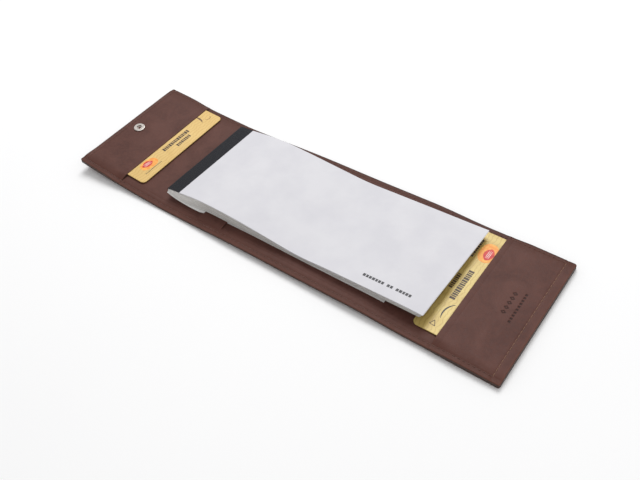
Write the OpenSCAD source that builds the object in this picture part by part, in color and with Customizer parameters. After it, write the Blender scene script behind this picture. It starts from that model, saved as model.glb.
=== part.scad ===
// Long cheque-book wallet: a leather strip in three leaves with two book-style folds, a card pocket
// at each end, a ring snap, and the folding cheque pad that its strap holds.
// The strip is laid out along X from the snap end, across Y from the near edge, Z up.

/* [Wallet] */
// Length of the open strip
wallet_length = 344; // [338:1:350]
// Width of the strip
wallet_width = 100; // [98:1:106]
// Thickness of the outer leather
outer_thickness = 1.3; // [1:0.1:1.6]
// Thickness of the leather lining
lining_thickness = 1; // [0.8:0.1:1.2]
// Gap left between two leaves at a crease
crease_gap = 0.3; // [0.2:0.1:0.5]
// Where the middle leaf begins, from the snap end
middle_start = 80.4; // [80:0.1:80.8]
// Where the middle leaf ends, from the snap end
middle_end = 204; // [203:0.5:206]
// Angle at which the snap end curls up off the table
flap_lift = 4.1; // [0:0.1:6]

/* [Pockets] */
// Thickness of a pocket's leather
pocket_thickness = 0.8; // [0.6:0.1:1]
// Height of the slot that holds a card
slot_height = 1.1; // [1:0.1:1.4]
// Length of the pocket at the snap end
left_pocket_length = 40; // [36:1:44]
// Length of the pocket at the other end
right_pocket_length = 44; // [40:1:46]
// Width of the turned-under hem along the near edge
near_hem = 9.2; // [6:0.1:9.4]
// Width of the turned-under hem along the far edge
far_hem = 4.3; // [3:0.1:4.4]
// Width of the turned-under hem across the snap end
left_end_hem = 2.7; // [2:0.1:2.8]
// Width of the turned-under hem across the other end
right_end_hem = 6.6; // [5:0.1:6.8]

/* [Cards] */
// Long side of a card
card_width = 85.6; // [85.47:0.01:85.72]
// Short side of a card
card_depth = 53.98; // [53.92:0.01:54.03]
// Thickness of a card
card_thickness = 0.76; // [0.68:0.01:0.84]
// Corner radius of a card
card_corner = 3.18; // [2.88:0.01:3.48]
// Near side of both cards, from the near edge
card_near = 9.7; // [9.6:0.05:9.9]
// Free edge of the card at the snap end
left_card_edge = 57; // [56.9:0.1:57.2]
// Free edge of the card at the other end
right_card_edge = 283; // [283:0.1:283.3]

/* [Snap] */
// Distance of the snap from the end of the strip
snap_from_end = 11.8; // [10:0.1:16]
// Outer diameter of the socket and of the stud's base
snap_diameter = 8.6; // [8:0.1:9]
// How far the socket stands off the pocket
socket_height = 0.95; // [0.8:0.05:1]
// How far the stud stands off the outer leather
stud_height = 1.3; // [1.2:0.05:1.35]
// Gap between the flap and the leaf below it when the snap is closed
snap_gap = 1.5; // [1.5:0.1:2]

/* [Strap] */
// Where the strap that holds the pad begins
strap_start = 114; // [112:1:118]
// Width of the strap
strap_width = 22; // [18:1:24]
// Thickness of the strap
strap_thickness = 0.8; // [0.6:0.1:0.8]
// Height of the slot under the strap
strap_slot = 0.6; // [0.55:0.05:0.6]
// Near end of the strap, from the near edge
strap_near = 5; // [4:0.5:6]
// Far end of the strap, from the near edge
strap_far = 96.5; // [96:0.5:97]
// Length of the strap that is sewn down at each end
strap_hem = 4.2; // [3:0.1:4.3]

/* [Cheque pad] */
// Where the pad begins, from the snap end
pad_start = 81; // [81:0.1:81.5]
// Where the pad ends
pad_end = 289; // [286:1:291]
// Near side of the pad, from the near edge
pad_near = 12; // [11:0.5:13]
// Width of the pad
pad_width = 80; // [78:1:81]
// Crease across the pad
pad_crease = 187; // [187:0.5:189]
// Width of the binding tape on the top
tape_width = 12; // [9:1:15]
// Thickness of the tape and of the front cover
sheet = 0.3; // [0.25:0.05:0.35]
// Height of the pages' underside above the lining
pad_base = 1.6; // [1.5:0.1:1.7]
// Height of the pad's top at its bound end
pad_end_top = 5.8; // [5:0.1:6]
// Height of the pad's top at its crown
pad_crown = 8.4; // [7.4:0.1:8.4]
// Height of the pad's top at the crease
pad_valley = 4.6; // [4:0.1:5]
// Height of the pad's top at its free end
pad_free_top = 6.4; // [5.8:0.1:6.4]
// Length of the back cover
back_cover_end = 262; // [250:1:264]

/* [Hidden] */
$fn = 64;
leather = outer_thickness + lining_thickness;
pocket_top = slot_height + pocket_thickness;
lining_color = [0.42, 0.30, 0.27];
outer_color = [0.36, 0.26, 0.24];
thread_color = [0.49, 0.37, 0.34];
nickel_color = [0.86, 0.82, 0.80];
paper_color = [0.87, 0.87, 0.89];
tape_color = [0.20, 0.20, 0.24];

// The pad folds about an axis above its top, high enough for its two halves to meet face to face.
fold_play = 0.2;
back_height = 0.2;
fold_height = (pad_crown + pad_free_top + fold_play) / 2;
// The folded pad and a pocket set the height of the right spine; the leaf and the snap set the left one.
right_spine = 2 * fold_height - back_height + pocket_top + fold_play;
left_spine = right_spine + leather + snap_gap + pocket_top;
flap_end = middle_start - left_spine;
right_start = middle_end + right_spine;

// The right leaf lies on its stud, which tips it up a little.
snap_reach = flap_end - snap_from_end;
stud_x = right_start + (middle_end - middle_start) - snap_reach;
nipple_radius = 1.7;
right_lift = asin((stud_height + 0.05) / (stud_x - nipple_radius - middle_end));

thread_width = 0.6;
thread_height = 0.25;
near_thread = 3.2;
far_thread = 2.7;
right_end_thread = 5.6;
pad_play = 0.05;
crown_x = 119;
shoulder = 60;
back_thickness = 0.25;
steps = 16;

// ---- where each body lies ----

// Strip coordinates, with heights above the lining's surface.
module on_lining() {
    translate([-wallet_length / 2, -wallet_width / 2, leather]) children();
}

// Turns its children up about a crease along Y. A positive angle raises the +X side.
module tip_up(x, z, angle) {
    translate([x, 0, z]) rotate([0, -angle, 0]) translate([-x, 0, -z]) children();
}

module on_flap() {
    on_lining() tip_up(middle_start, 0, -flap_lift) children();
}

module on_right() {
    on_lining() tip_up(middle_end, 0, right_lift) children();
}

module on_right_pad() {
    on_lining() tip_up(pad_crease, fold_height, right_lift) children();
}

// ---- shared shapes ----

// A flat layer of the strip between two stations.
module leaf(from, to, base, thickness) {
    translate([from, 0, base]) cube([to - from, wallet_width, thickness]);
}

// A row of thread along X or along Y.
module thread_along(from, to, y, base) {
    translate([from, y - thread_width / 2, base]) cube([to - from, thread_width, thread_height]);
}

module thread_across(x, from, to, base) {
    translate([x - thread_width / 2, from, base]) cube([thread_width, to - from, thread_height]);
}

// The two long seams of one leaf.
module long_seams(from, to, base) {
    thread_along(from, to, near_thread, base);
    thread_along(from, to, wallet_width - far_thread, base);
}

module ring(outer, inner, base, height) {
    difference() {
        translate([0, 0, base]) cylinder(r = outer, h = height);
        translate([0, 0, base - 1]) cylinder(r = inner, h = height + 2);
    }
}

// A profile in X and Z carried across the pad.
module across_pad(near, width) {
    translate([0, near + width, 0]) rotate([90, 0, 0]) linear_extrude(height = width) children();
}

// ---- leather ----

module outer_leather(from, to) {
    color(outer_color) leaf(from, to, -leather, outer_thickness);
}

module lining(from, to) {
    color(lining_color) leaf(from, to, -lining_thickness, lining_thickness);
}

module outer_leather_flap() {
    on_flap() outer_leather(0, flap_end - crease_gap / 2);
}

module outer_leather_left_spine() {
    on_flap() outer_leather(flap_end + crease_gap / 2, middle_start - crease_gap / 2);
}

module outer_leather_middle() {
    on_lining() outer_leather(middle_start + crease_gap / 2, middle_end - crease_gap / 2);
}

module outer_leather_right_spine() {
    on_right() outer_leather(middle_end + crease_gap / 2, right_start - crease_gap / 2);
}

module outer_leather_right_panel() {
    on_right() difference() {
        outer_leather(right_start + crease_gap / 2, wallet_length);
        translate([stud_x, wallet_width / 2, -leather - 1]) cylinder(r = 1.1, h = outer_thickness + 2);
    }
}

module lining_flap() {
    on_flap() lining(0, flap_end - crease_gap / 2);
}

module lining_left_spine() {
    on_flap() lining(flap_end + crease_gap / 2, middle_start - crease_gap / 2);
}

module lining_middle() {
    on_lining() lining(middle_start + crease_gap / 2, middle_end - crease_gap / 2);
}

module lining_right_spine() {
    on_right() lining(middle_end + crease_gap / 2, right_start - crease_gap / 2);
}

// The lining is skived away over the washer and the rivet's head.
module lining_right_panel() {
    on_right() difference() {
        lining(right_start + crease_gap / 2, wallet_length);
        translate([stud_x, wallet_width / 2, -lining_thickness - 1]) cylinder(r = 4.6, h = 1.65);
    }
}

// ---- pockets ----

module pocket_left() {
    color(lining_color) on_flap() difference() {
        leaf(0, left_pocket_length, slot_height, pocket_thickness);
        translate([snap_from_end, wallet_width / 2, slot_height - 1]) cylinder(r = 1.6, h = 4);
        translate([snap_from_end, wallet_width / 2, slot_height - 1]) cylinder(r = 3.3, h = 1.35);
    }
}

module pocket_right() {
    color(lining_color) on_right()
        leaf(wallet_length - right_pocket_length, wallet_length, slot_height, pocket_thickness);
}

// Three strips of turned-under leather, apart at the corners.
module hems(from, to, end_from, end_to) {
    translate([from, 0, 0]) cube([to - from, near_hem, slot_height]);
    translate([from, wallet_width - far_hem, 0]) cube([to - from, far_hem, slot_height]);
    translate([end_from, near_hem + 0.1, 0])
        cube([end_to - end_from, wallet_width - near_hem - far_hem - 0.2, slot_height]);
}

module pocket_left_hem() {
    color(lining_color) on_flap() hems(0, left_pocket_length, 0, left_end_hem);
}

module pocket_right_hem() {
    color(lining_color) on_right()
        hems(wallet_length - right_pocket_length, wallet_length, wallet_length - right_end_hem, wallet_length);
}

// ---- strap that holds the pad's back cover ----

module pad_strap() {
    color(lining_color) on_lining() translate([strap_start, strap_near, strap_slot])
        cube([strap_width, strap_far - strap_near, strap_thickness]);
}

module pad_strap_hems() {
    color(lining_color) on_lining() for (y = [strap_near, strap_far - strap_hem])
        translate([strap_start, y, 0]) cube([strap_width, strap_hem, strap_slot]);
}

// ---- stitching ----

module stitching_flap() {
    color(thread_color) on_flap() {
        long_seams(1.5, left_pocket_length - 0.5, pocket_top);
        long_seams(left_pocket_length + 0.5, flap_end - 1, 0);
        thread_across(1.6, near_thread + 1, wallet_width - far_thread - 1, pocket_top);
    }
}

module stitching_left_spine() {
    color(thread_color) on_flap() long_seams(flap_end + 1, middle_start - 1, 0);
}

module stitching_middle() {
    color(thread_color) on_lining() long_seams(middle_start + 1, middle_end - 1, 0);
}

module stitching_right_spine() {
    color(thread_color) on_right() long_seams(middle_end + 1, right_start - 1, 0);
}

module stitching_right_panel() {
    mouth = wallet_length - right_pocket_length;
    color(thread_color) on_right() {
        long_seams(right_start + 1, mouth - 0.5, 0);
        long_seams(mouth + 0.5, wallet_length - right_end_thread - 0.5, pocket_top);
        thread_across(wallet_length - right_end_thread, near_thread + 1,
            wallet_width - far_thread - 1, pocket_top);
    }
}

// ---- snap ----

module at_socket() {
    on_flap() translate([snap_from_end, wallet_width / 2, pocket_top]) children();
}

module at_stud() {
    on_right() translate([stud_x, wallet_width / 2, -leather]) children();
}

// A low cup with a rounded rim; its bore takes the stud.
module snap_socket() {
    color(nickel_color) at_socket() rotate_extrude() difference() {
        union() {
            translate([2.1, 0]) square([snap_diameter / 2 - 2.1, socket_height - 0.4]);
            translate([2.1, 0]) square([snap_diameter / 2 - 2.5, socket_height]);
            translate([snap_diameter / 2 - 0.4, socket_height - 0.4]) circle(r = 0.4);
        }
        translate([2.1, 0.3]) square([0.35, 0.3]);
    }
}

// Two spring wires that cross the socket and grip the stud's neck.
module snap_spring() {
    color(nickel_color) at_socket() for (y = [-1.85, 1.85])
        translate([-1.2, y, 0.45]) rotate([0, 90, 0]) cylinder(r = 0.1, h = 2.4, $fn = 24);
}

// The eyelet clamps the socket through the pocket's leather, with its flange let in underneath.
module snap_socket_eyelet() {
    color(nickel_color) at_socket() rotate_extrude() union() {
        translate([1.15, -pocket_thickness]) square([1.95, 0.3]);
        translate([1.15, -pocket_thickness]) square([0.4, pocket_thickness + 0.15]);
        translate([1.15, 0]) square([0.9, 0.15]);
    }
}

// The stud's base with its nipple, standing off the outer leather.
module snap_stud() {
    color(nickel_color) at_stud() mirror([0, 0, 1]) rotate_extrude() difference() {
        union() {
            square([snap_diameter / 2 - 0.3, 0.25]);
            square([1.45, stud_height]);
            translate([0, 0.75]) square([nipple_radius, stud_height - 0.75]);
        }
        translate([-1, -1]) square([1.75, 1.9]);
    }
}

// The rivet that holds the stud, headed over the washer inside the leather.
module snap_stud_rivet() {
    color(nickel_color) at_stud() rotate_extrude() union() {
        translate([0, -0.85]) square([0.7, outer_thickness + 1.2]);
        translate([0, outer_thickness + 0.3]) square([3, 0.25]);
    }
}

module snap_stud_washer() {
    color(nickel_color) at_stud() ring(4.3, 0.9, outer_thickness, 0.28);
}

// ---- cards ----

module card_blank() {
    linear_extrude(height = card_thickness) difference() {
        square([card_depth, card_width]);
        for (x = [0, 1], y = [0, 1])
            translate([x * card_depth, y * card_width]) mirror([x, 0]) mirror([0, y]) difference() {
                translate([-1, -1]) square([card_corner + 1, card_corner + 1]);
                translate([card_corner, card_corner]) circle(r = card_corner);
            }
    }
}

module card_left() {
    color([0.92, 0.82, 0.53]) on_flap()
        translate([left_card_edge - card_depth, card_near, (slot_height - card_thickness) / 2]) card_blank();
}

module card_right() {
    color([0.84, 0.78, 0.43]) on_right()
        translate([right_card_edge, card_near, (slot_height - card_thickness) / 2]) card_blank();
}

// ---- cheque pad ----

// Height of the pad's top: it rises from the bound end to the crown, and falls to the crease.
function left_top(x) = x < crown_x
    ? pad_end_top + (pad_crown - pad_end_top) * sin(90 * (x - pad_start) / (crown_x - pad_start))
    : pad_valley + (pad_crown - pad_valley) * (1 + cos(180 * (x - crown_x) / (pad_crease - crown_x))) / 2;

function right_top(x) =
    pad_valley + (pad_free_top - pad_valley) * sin(min(90, 90 * (x - pad_crease) / shoulder));

// Height of the pad's underside, which curls up at the bound end.
function underside(x) = pad_base + 1.4 * pow(max(0, (pad_start + 18 - x) / 18), 2);

// The back cover leaves the tape and dips under the strap.
function back_rise(x) = back_height + 2 * (1 - sin(min(90, 90 * (x - pad_start - 2) / 26)));

function stations(from, to) = [for (i = [0:steps]) from + (to - from) * i / steps];

function reversed(list) = [for (i = [len(list) - 1:-1:0]) list[i]];

module left_outline(from, to, drop, raise) {
    xs = stations(from, to);
    polygon(concat([for (x = xs) [x, left_top(x) - drop]],
        [for (x = reversed(xs)) [x, underside(x) + raise]]));
}

module staple(clearance) {
    span = 12;
    wire = 0.5 + clearance;
    top = left_top(pad_start + 6) - sheet - 1.2;
    for (y = [-span / 2, span / 2])
        translate([pad_start + 6 - wire / 2, y - wire / 2, pad_base + 1.4 - clearance])
            cube([wire, wire, top - pad_base - 1.4 + 2 * clearance]);
    translate([pad_start + 6 - wire / 2, -(span + wire) / 2, top - wire / 2])
        cube([wire, span + wire, wire]);
}

module staples(clearance) {
    for (share = [0.25, 0.75])
        translate([0, pad_near + pad_width * share, 0]) staple(clearance);
}

module pad_pages_left() {
    color(paper_color) on_lining() difference() {
        across_pad(pad_near, pad_width)
            left_outline(pad_start + sheet, pad_crease - crease_gap / 2, sheet + pad_play, sheet + pad_play);
        staples(0.1);
    }
}

module pad_staples() {
    color(nickel_color) on_lining() staples(0);
}

module pad_tape() {
    color(tape_color) on_lining() across_pad(pad_near, pad_width) difference() {
        left_outline(pad_start, pad_start + tape_width, 0, 0);
        left_outline(pad_start + sheet, pad_start + tape_width + 1, sheet, sheet);
    }
}

module pad_cover_left() {
    xs = stations(pad_start + tape_width + crease_gap, pad_crease - crease_gap / 2);
    color(paper_color) on_lining() across_pad(pad_near, pad_width)
        polygon(concat([for (x = xs) [x, left_top(x)]],
            [for (x = reversed(xs)) [x, left_top(x) - sheet]]));
}

module pad_cover_right() {
    xs = stations(pad_crease + crease_gap / 2, pad_end);
    color(paper_color) on_right_pad() across_pad(pad_near, pad_width)
        polygon(concat([for (x = xs) [x, right_top(x)]],
            [for (x = reversed(xs)) [x, right_top(x) - sheet]]));
}

module pad_pages_right() {
    xs = stations(pad_crease + crease_gap / 2, pad_end);
    color(paper_color) on_right_pad() across_pad(pad_near, pad_width)
        polygon(concat([for (x = xs) [x, right_top(x) - sheet - pad_play]],
            [[pad_end, pad_base], [pad_crease + crease_gap / 2, pad_base]]));
}

module pad_back_cover_left() {
    xs = stations(pad_start + 3, pad_crease - crease_gap / 2);
    color(paper_color) on_lining() across_pad(pad_near - 1, pad_width)
        polygon(concat([for (x = xs) [x, back_rise(x) + back_thickness]],
            [for (x = reversed(xs)) [x, back_rise(x)]]));
}

module pad_back_cover_right() {
    start = pad_crease + crease_gap / 2;
    color(paper_color) on_right_pad() translate([start, pad_near - 1, back_height])
        cube([back_cover_end - start, pad_width, back_thickness]);
}

outer_leather_flap();
outer_leather_left_spine();
outer_leather_middle();
outer_leather_right_spine();
outer_leather_right_panel();
lining_flap();
lining_left_spine();
lining_middle();
lining_right_spine();
lining_right_panel();
pocket_left();
pocket_left_hem();
pocket_right();
pocket_right_hem();
pad_strap();
pad_strap_hems();
stitching_flap();
stitching_left_spine();
stitching_middle();
stitching_right_spine();
stitching_right_panel();
snap_socket();
snap_spring();
snap_socket_eyelet();
snap_stud();
snap_stud_rivet();
snap_stud_washer();
card_left();
card_right();
pad_pages_left();
pad_pages_right();
pad_back_cover_left();
pad_back_cover_right();
pad_tape();
pad_staples();
pad_cover_left();
pad_cover_right();
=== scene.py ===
"""Looks for the long wallet: a leather strip of three leaves, two bank cards and a cheque pad.

The script works in millimetres along the open strip and turns them into the row frame's metres.
s runs from the snap end, y from the near long edge, and h is the height above the lining.
"""
import math
import random

import bpy
from mathutils import Matrix, Vector, noise


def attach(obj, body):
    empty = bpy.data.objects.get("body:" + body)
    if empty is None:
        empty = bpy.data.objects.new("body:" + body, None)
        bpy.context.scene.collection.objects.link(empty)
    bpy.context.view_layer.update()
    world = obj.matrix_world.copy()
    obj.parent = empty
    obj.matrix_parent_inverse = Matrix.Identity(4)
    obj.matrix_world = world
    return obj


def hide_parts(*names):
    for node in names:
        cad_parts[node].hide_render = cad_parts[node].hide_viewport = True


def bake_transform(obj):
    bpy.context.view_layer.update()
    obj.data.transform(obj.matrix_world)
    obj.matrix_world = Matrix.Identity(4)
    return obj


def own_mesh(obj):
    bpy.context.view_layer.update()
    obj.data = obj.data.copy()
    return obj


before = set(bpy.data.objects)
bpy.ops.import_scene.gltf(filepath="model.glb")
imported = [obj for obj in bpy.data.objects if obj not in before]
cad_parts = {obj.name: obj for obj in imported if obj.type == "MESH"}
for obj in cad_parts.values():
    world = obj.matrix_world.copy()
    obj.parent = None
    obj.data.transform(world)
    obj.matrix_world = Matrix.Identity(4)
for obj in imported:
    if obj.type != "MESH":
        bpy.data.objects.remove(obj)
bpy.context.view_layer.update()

MM = 0.001
LENGTH = 344.0
WIDTH = 100.0
LEATHER = 2.3
OUTER = 1.3
MIDDLE_START = 80.4
MIDDLE_END = 204.0
FLAP_END = 57.8
RIGHT_START = 220.9
FLAP_TILT = math.radians(4.1)
RIGHT_TILT = math.radians(0.8335)
CREASE = 187.0
BEND = 4.0
STRIP_CORNER = 1.2
POCKET_LEFT_MOUTH = 40.0
POCKET_RIGHT_MOUTH = 300.0
POCKET_TOP = 1.9
POCKET_EDGE = 1.35
SLOT = 1.1
NEAR_HEM = 9.2
FAR_HEM = 4.3
CARD_LONG = 85.6
CARD_SHORT = 53.98
CARD_THICK = 0.76
CARD_NEAR = 9.7
STITCH_NEAR = 3.2
STITCH_FAR = 2.7
STITCH_LEFT = 3.0
STITCH_RIGHT = 5.6
PAD_NEAR = 12.0
PAD_FAR = 92.0
PAD_LEFT = 81.0
PAD_RIGHT = 289.0
TAPE_END = 93.15
PAD_MIDDLE = 52.0
PAD_BEND = 3.0
BACK_BEND = 0.8
BACK_END = 262.0
STRAP_START = 114.0
STRAP_END = 136.0
SHEETS = 22
COVER_THICK = 0.26
BACK_THICK = 0.33
TAPE_THICK = 0.28
DASH_INK, RED_INK, ORANGE_INK, PALE_INK, EXTRA_INK = 1, 2, 3, 4, 5
INK_LAYERS = {RED_INK: 0.012, PALE_INK: 0.024}


# ---------------------------------------------------------------- shape of the open strip

def ramp(low, high, value):
    """0 before low, 1 after high, and a smooth step between them."""
    t = min(max((value - low) / (high - low), 0.0), 1.0)
    return t * t * (3 - 2 * t)


def lift(s):
    """How far the soft leather arches off the straight strip, as in the photograph."""
    arch = 2.1 * ramp(84, 165, s) * (1 - ramp(244, 290, s))
    sag = -0.55 * ramp(14, 36, s) * (1 - ramp(48, 80, s))
    droop = -1.95 * max(0.0, (s - 290) / 54) * ramp(290, 310, s)
    return arch + sag + droop


def point(s, y, h, ripple=1.0):
    """The row-frame point, in metres, of a place on the open strip."""
    curl = 0.9 * ramp(14, 0, s) * ramp(18, 0, y)
    wave = 0.10 * noise.noise(Vector((s / 17, y / 13, 3.1))) * ripple
    rise = h + lift(s) + curl + wave * ramp(0, 8, min(y, WIDTH - y))
    if s < MIDDLE_START:
        along = s - MIDDLE_START
        x = MIDDLE_START + along * math.cos(FLAP_TILT) + h * math.sin(FLAP_TILT)
        z = -along * math.sin(FLAP_TILT) + rise
    elif s > MIDDLE_END:
        along = s - MIDDLE_END
        x = MIDDLE_END + along * math.cos(RIGHT_TILT) - h * math.sin(RIGHT_TILT)
        z = along * math.sin(RIGHT_TILT) + rise
    else:
        x = s
        z = rise
    return Vector((x - LENGTH / 2, y - WIDTH / 2, max(z + LEATHER, 0.02))) * MM


def level(s, y, h):
    """The row-frame point of a place on the pad, whose heights are above the flat lining."""
    return Vector((s - LENGTH / 2, y - WIDTH / 2, h + LEATHER)) * MM


def edge_distance(s, y):
    """Distance to the strip's nearest outside edge."""
    return min(y, WIDTH - y, s, LENGTH - s)


def groove(s, y):
    """1 on a stitch line and 0 away from it."""
    near = abs(y - STITCH_NEAR)
    far = abs(WIDTH - STITCH_FAR - y)
    left = abs(s - STITCH_LEFT)
    right = abs(LENGTH - STITCH_RIGHT - s)
    return math.exp(-(min(near, far, left, right) / 0.65) ** 2)


def shoulder(distance, radius):
    """How far a surface drops within radius of its edge."""
    if distance >= radius:
        return 0.0
    return radius * (1 - math.sqrt(max(0.0, 1 - (1 - distance / radius) ** 2)))


def in_pocket(s):
    """True where a pocket covers the lining."""
    return s <= POCKET_LEFT_MOUTH or s >= POCKET_RIGHT_MOUTH


def lining_top(s, y):
    """Height of the lining's surface."""
    crease = 0.13 * math.exp(-((y - 6.6) / 0.45) ** 2) * ramp(50, 70, s) * (1 - ramp(284, 298, s))
    if in_pocket(s):
        return -0.05
    return -shoulder(edge_distance(s, y), 0.45) - 0.22 * groove(s, y) - crease


def motif(s, y):
    """Pressed pattern on the right pocket: a row of lozenges over a row of short dashes."""
    depth = 0.0
    if 42.4 < y < 61.4:
        step = (y - 42.4) % 3.8 - 1.9
        lozenge = 1 - (abs(step) / 1.5 + abs(s - 323.6) / 1.9)
        hollow = 1 - (abs(step) / 0.7 + abs(s - 323.6) / 0.9)
        depth = max(ramp(0, 0.25, lozenge) - ramp(0, 0.3, hollow), 0.0)
    if 38.7 < y < 63.3:
        step = (y - 38.7) % 2.46 - 1.23
        dash = min(0.75 - abs(step), 0.75 - abs(s - 329.4))
        depth = max(depth, ramp(-0.05, 0.2, dash))
    return depth


def pocket_top(s, y):
    """Height of a pocket's surface: full over the card, pressed down at the sewn edges."""
    mouth = min(abs(s - POCKET_LEFT_MOUTH), abs(s - POCKET_RIGHT_MOUTH))
    sewn = POCKET_EDGE - 0.95 * ramp(16, 1, mouth)
    full = sewn + (POCKET_TOP - sewn) * min(ramp(2.0, 9, y), ramp(0.6, 3.9, WIDTH - y))
    card = 0.12 * ramp(8, 14, y) * ramp(4, 10, WIDTH - y)
    hem_line = 0.10 * math.exp(-((mouth - 4.2) / 0.5) ** 2)
    drop = shoulder(edge_distance(s, y), 0.5) + shoulder(mouth, 0.35) + 0.20 * groove(s, y)
    return full + card - drop - hem_line - 0.28 * motif(s, y)


def pocket_bottom(s, y):
    """Underside of a pocket: on the lining where it is hemmed, and open above the card slot."""
    end = s if s < POCKET_LEFT_MOUTH + 1 else LENGTH - s
    end_hem = 2.7 if s < POCKET_LEFT_MOUTH + 1 else 6.6
    if y < NEAR_HEM or y > WIDTH - FAR_HEM or end < end_hem:
        return -0.04
    return SLOT


def surface(s, y):
    """Height of the topmost leather."""
    return pocket_top(s, y) if in_pocket(s) else lining_top(s, y)


# ---------------------------------------------------------------- mesh building

def steps(low, high, size):
    """Evenly spaced numbers from low to high, about size apart."""
    count = max(1, round((high - low) / size))
    return [low + (high - low) * i / count for i in range(count + 1)]


def joined(*lists):
    """One rising list of numbers without near repeats."""
    numbers = sorted(n for one in lists for n in one)
    kept = numbers[:1]
    for n in numbers[1:]:
        if n - kept[-1] > 0.12:
            kept.append(n)
    kept[-1] = numbers[-1]
    return kept


def rounded_corner(s, y):
    """Moves a point near one of the strip's four corners onto a rounded corner."""
    radius = STRIP_CORNER
    ds, dy = min(s, LENGTH - s), min(y, WIDTH - y)
    if ds >= radius or dy >= radius:
        return s, y
    u, v = 1 - ds / radius, 1 - dy / radius
    scale = max(u, v) / max(math.hypot(u, v), 1e-9)
    ds, dy = radius * (1 - u * scale), radius * (1 - v * scale)
    return (ds if s < LENGTH / 2 else LENGTH - ds), (dy if y < WIDTH / 2 else WIDTH - dy)


class Solid:
    """A mesh being built.

    Each vertex has strip coordinates and a wear and highlight value: above 0 where rubbed pale or lightened
    as a painted highlight, below 0 where dark.
    """

    def __init__(self):
        self.points = []
        self.places = []
        self.wear_and_highlight = []
        self.faces = []
        self.kinds = []

    def add(self, where, place=(0, 0, 0), wear_and_highlight=0.0):
        self.points.append(where)
        self.places.append(place)
        self.wear_and_highlight.append(wear_and_highlight)
        return len(self.points) - 1

    def face(self, corners, kind=0):
        self.faces.append(corners)
        self.kinds.append(kind)

    def make(self, name, materials, smooth=True):
        mesh = bpy.data.meshes.new(name)
        mesh.from_pydata([tuple(p) for p in self.points], [], self.faces)
        for material in materials:
            mesh.materials.append(material)
        mesh.polygons.foreach_set("material_index", self.kinds)
        mesh.polygons.foreach_set("use_smooth", [smooth] * len(self.faces))
        place = mesh.attributes.new("place", "FLOAT_VECTOR", "POINT")
        place.data.foreach_set("vector", [c for p in self.places for c in p])
        wear_and_highlight = mesh.attributes.new("wear_and_highlight", "FLOAT", "POINT")
        wear_and_highlight.data.foreach_set("value", self.wear_and_highlight)
        mesh.update()
        if smooth:
            mesh.set_sharp_from_angle(angle=math.radians(55))
        piece = bpy.data.objects.new(name, mesh)
        bpy.context.scene.collection.objects.link(piece)
        return piece


def add_slab(solid, ss, ys, top, bottom, put=point, corner=None, bulge=0.0, wear_and_highlight=None, kinds=(0, 0, 0),
             seams=(False, False)):
    """Adds a closed slab over a grid.

    kinds are the material numbers of its top, sides and bottom, and seams tells which of its two ends
    meet a neighbour and stay flat.
    """
    corner = corner or (lambda s, y: (s, y))
    wear_and_highlight = wear_and_highlight or (lambda s, y: 0.0)
    grids = []
    for height in (top, bottom):
        rows = []
        for s in ss:
            row = []
            for y in ys:
                cs, cy = corner(s, y)
                h = height(s, y)
                row.append(solid.add(put(cs, cy, h), (cs, cy, h), wear_and_highlight(s, y)))
            rows.append(row)
        grids.append(rows)
    upper, lower = grids
    for i in range(len(ss) - 1):
        for j in range(len(ys) - 1):
            solid.face((upper[i][j], upper[i + 1][j], upper[i + 1][j + 1], upper[i][j + 1]), kinds[0])
            solid.face((lower[i][j], lower[i][j + 1], lower[i + 1][j + 1], lower[i + 1][j]), kinds[2])
    last_s, last_y = len(ss) - 1, len(ys) - 1
    ring = [(i, 0) for i in range(last_s)] + [(last_s, j) for j in range(last_y)]
    ring += [(i, last_y) for i in range(last_s, 0, -1)] + [(0, j) for j in range(last_y, 0, -1)]
    belt = []
    for i, j in ring:
        s, y = ss[i], ys[j]
        cs, cy = corner(s, y)
        out_s = (i == last_s and not seams[1]) - (i == 0 and not seams[0])
        out_y = (j == last_y) - (j == 0)
        h = 0.5 * (top(s, y) + bottom(s, y))
        where = put(cs + bulge * out_s, cy + bulge * out_y, h)
        belt.append(solid.add(where, (cs, cy, h), 1.0))
    for k in range(len(ring)):
        n = (k + 1) % len(ring)
        a, b = ring[k], ring[n]
        solid.face((upper[a[0]][a[1]], belt[k], belt[n], upper[b[0]][b[1]]), kinds[1])
        solid.face((belt[k], lower[a[0]][a[1]], lower[b[0]][b[1]], belt[n]), kinds[1])


def add_patch(solid, outline, top, put, kind, depth=0.12, proud=0.02):
    """Adds a thin inlay with the given outline, just proud of the surface `top`."""
    upper = [solid.add(put(s, y, top(s, y) + proud), (s, y, 0)) for s, y in outline]
    lower = [solid.add(put(s, y, top(s, y) - depth), (s, y, 0)) for s, y in outline]
    solid.face(tuple(upper), kind)
    solid.face(tuple(reversed(lower)), kind)
    for k in range(len(outline)):
        n = (k + 1) % len(outline)
        solid.face((upper[k], lower[k], lower[n], upper[n]), kind)


def bar(s0, s1, y0, y1):
    """Outline of a rectangle, anticlockwise seen from above."""
    return [(s0, y0), (s1, y0), (s1, y1), (s0, y1)]


def ellipse(s, y, rs, ry, turn=0.0, power=1.0):
    """Outline of an ellipse, squarer for a power under 1 and more pointed for one above 1."""
    outline = []
    count = 28
    for k in range(count):
        a = 2 * math.pi * k / count
        u = math.copysign(abs(math.cos(a)) ** power, math.cos(a)) * rs
        v = math.copysign(abs(math.sin(a)) ** power, math.sin(a)) * ry
        outline.append((s + u * math.cos(turn) - v * math.sin(turn),
                        y + u * math.sin(turn) + v * math.cos(turn)))
    return outline


# ---------------------------------------------------------------- materials

def linear(red, green, blue):
    """Colour from 0 to 255 as the shader's linear RGBA."""
    def one(c):
        c /= 255
        return c / 12.92 if c <= 0.04045 else ((c + 0.055) / 1.055) ** 2.4
    return one(red), one(green), one(blue), 1.0


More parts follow.
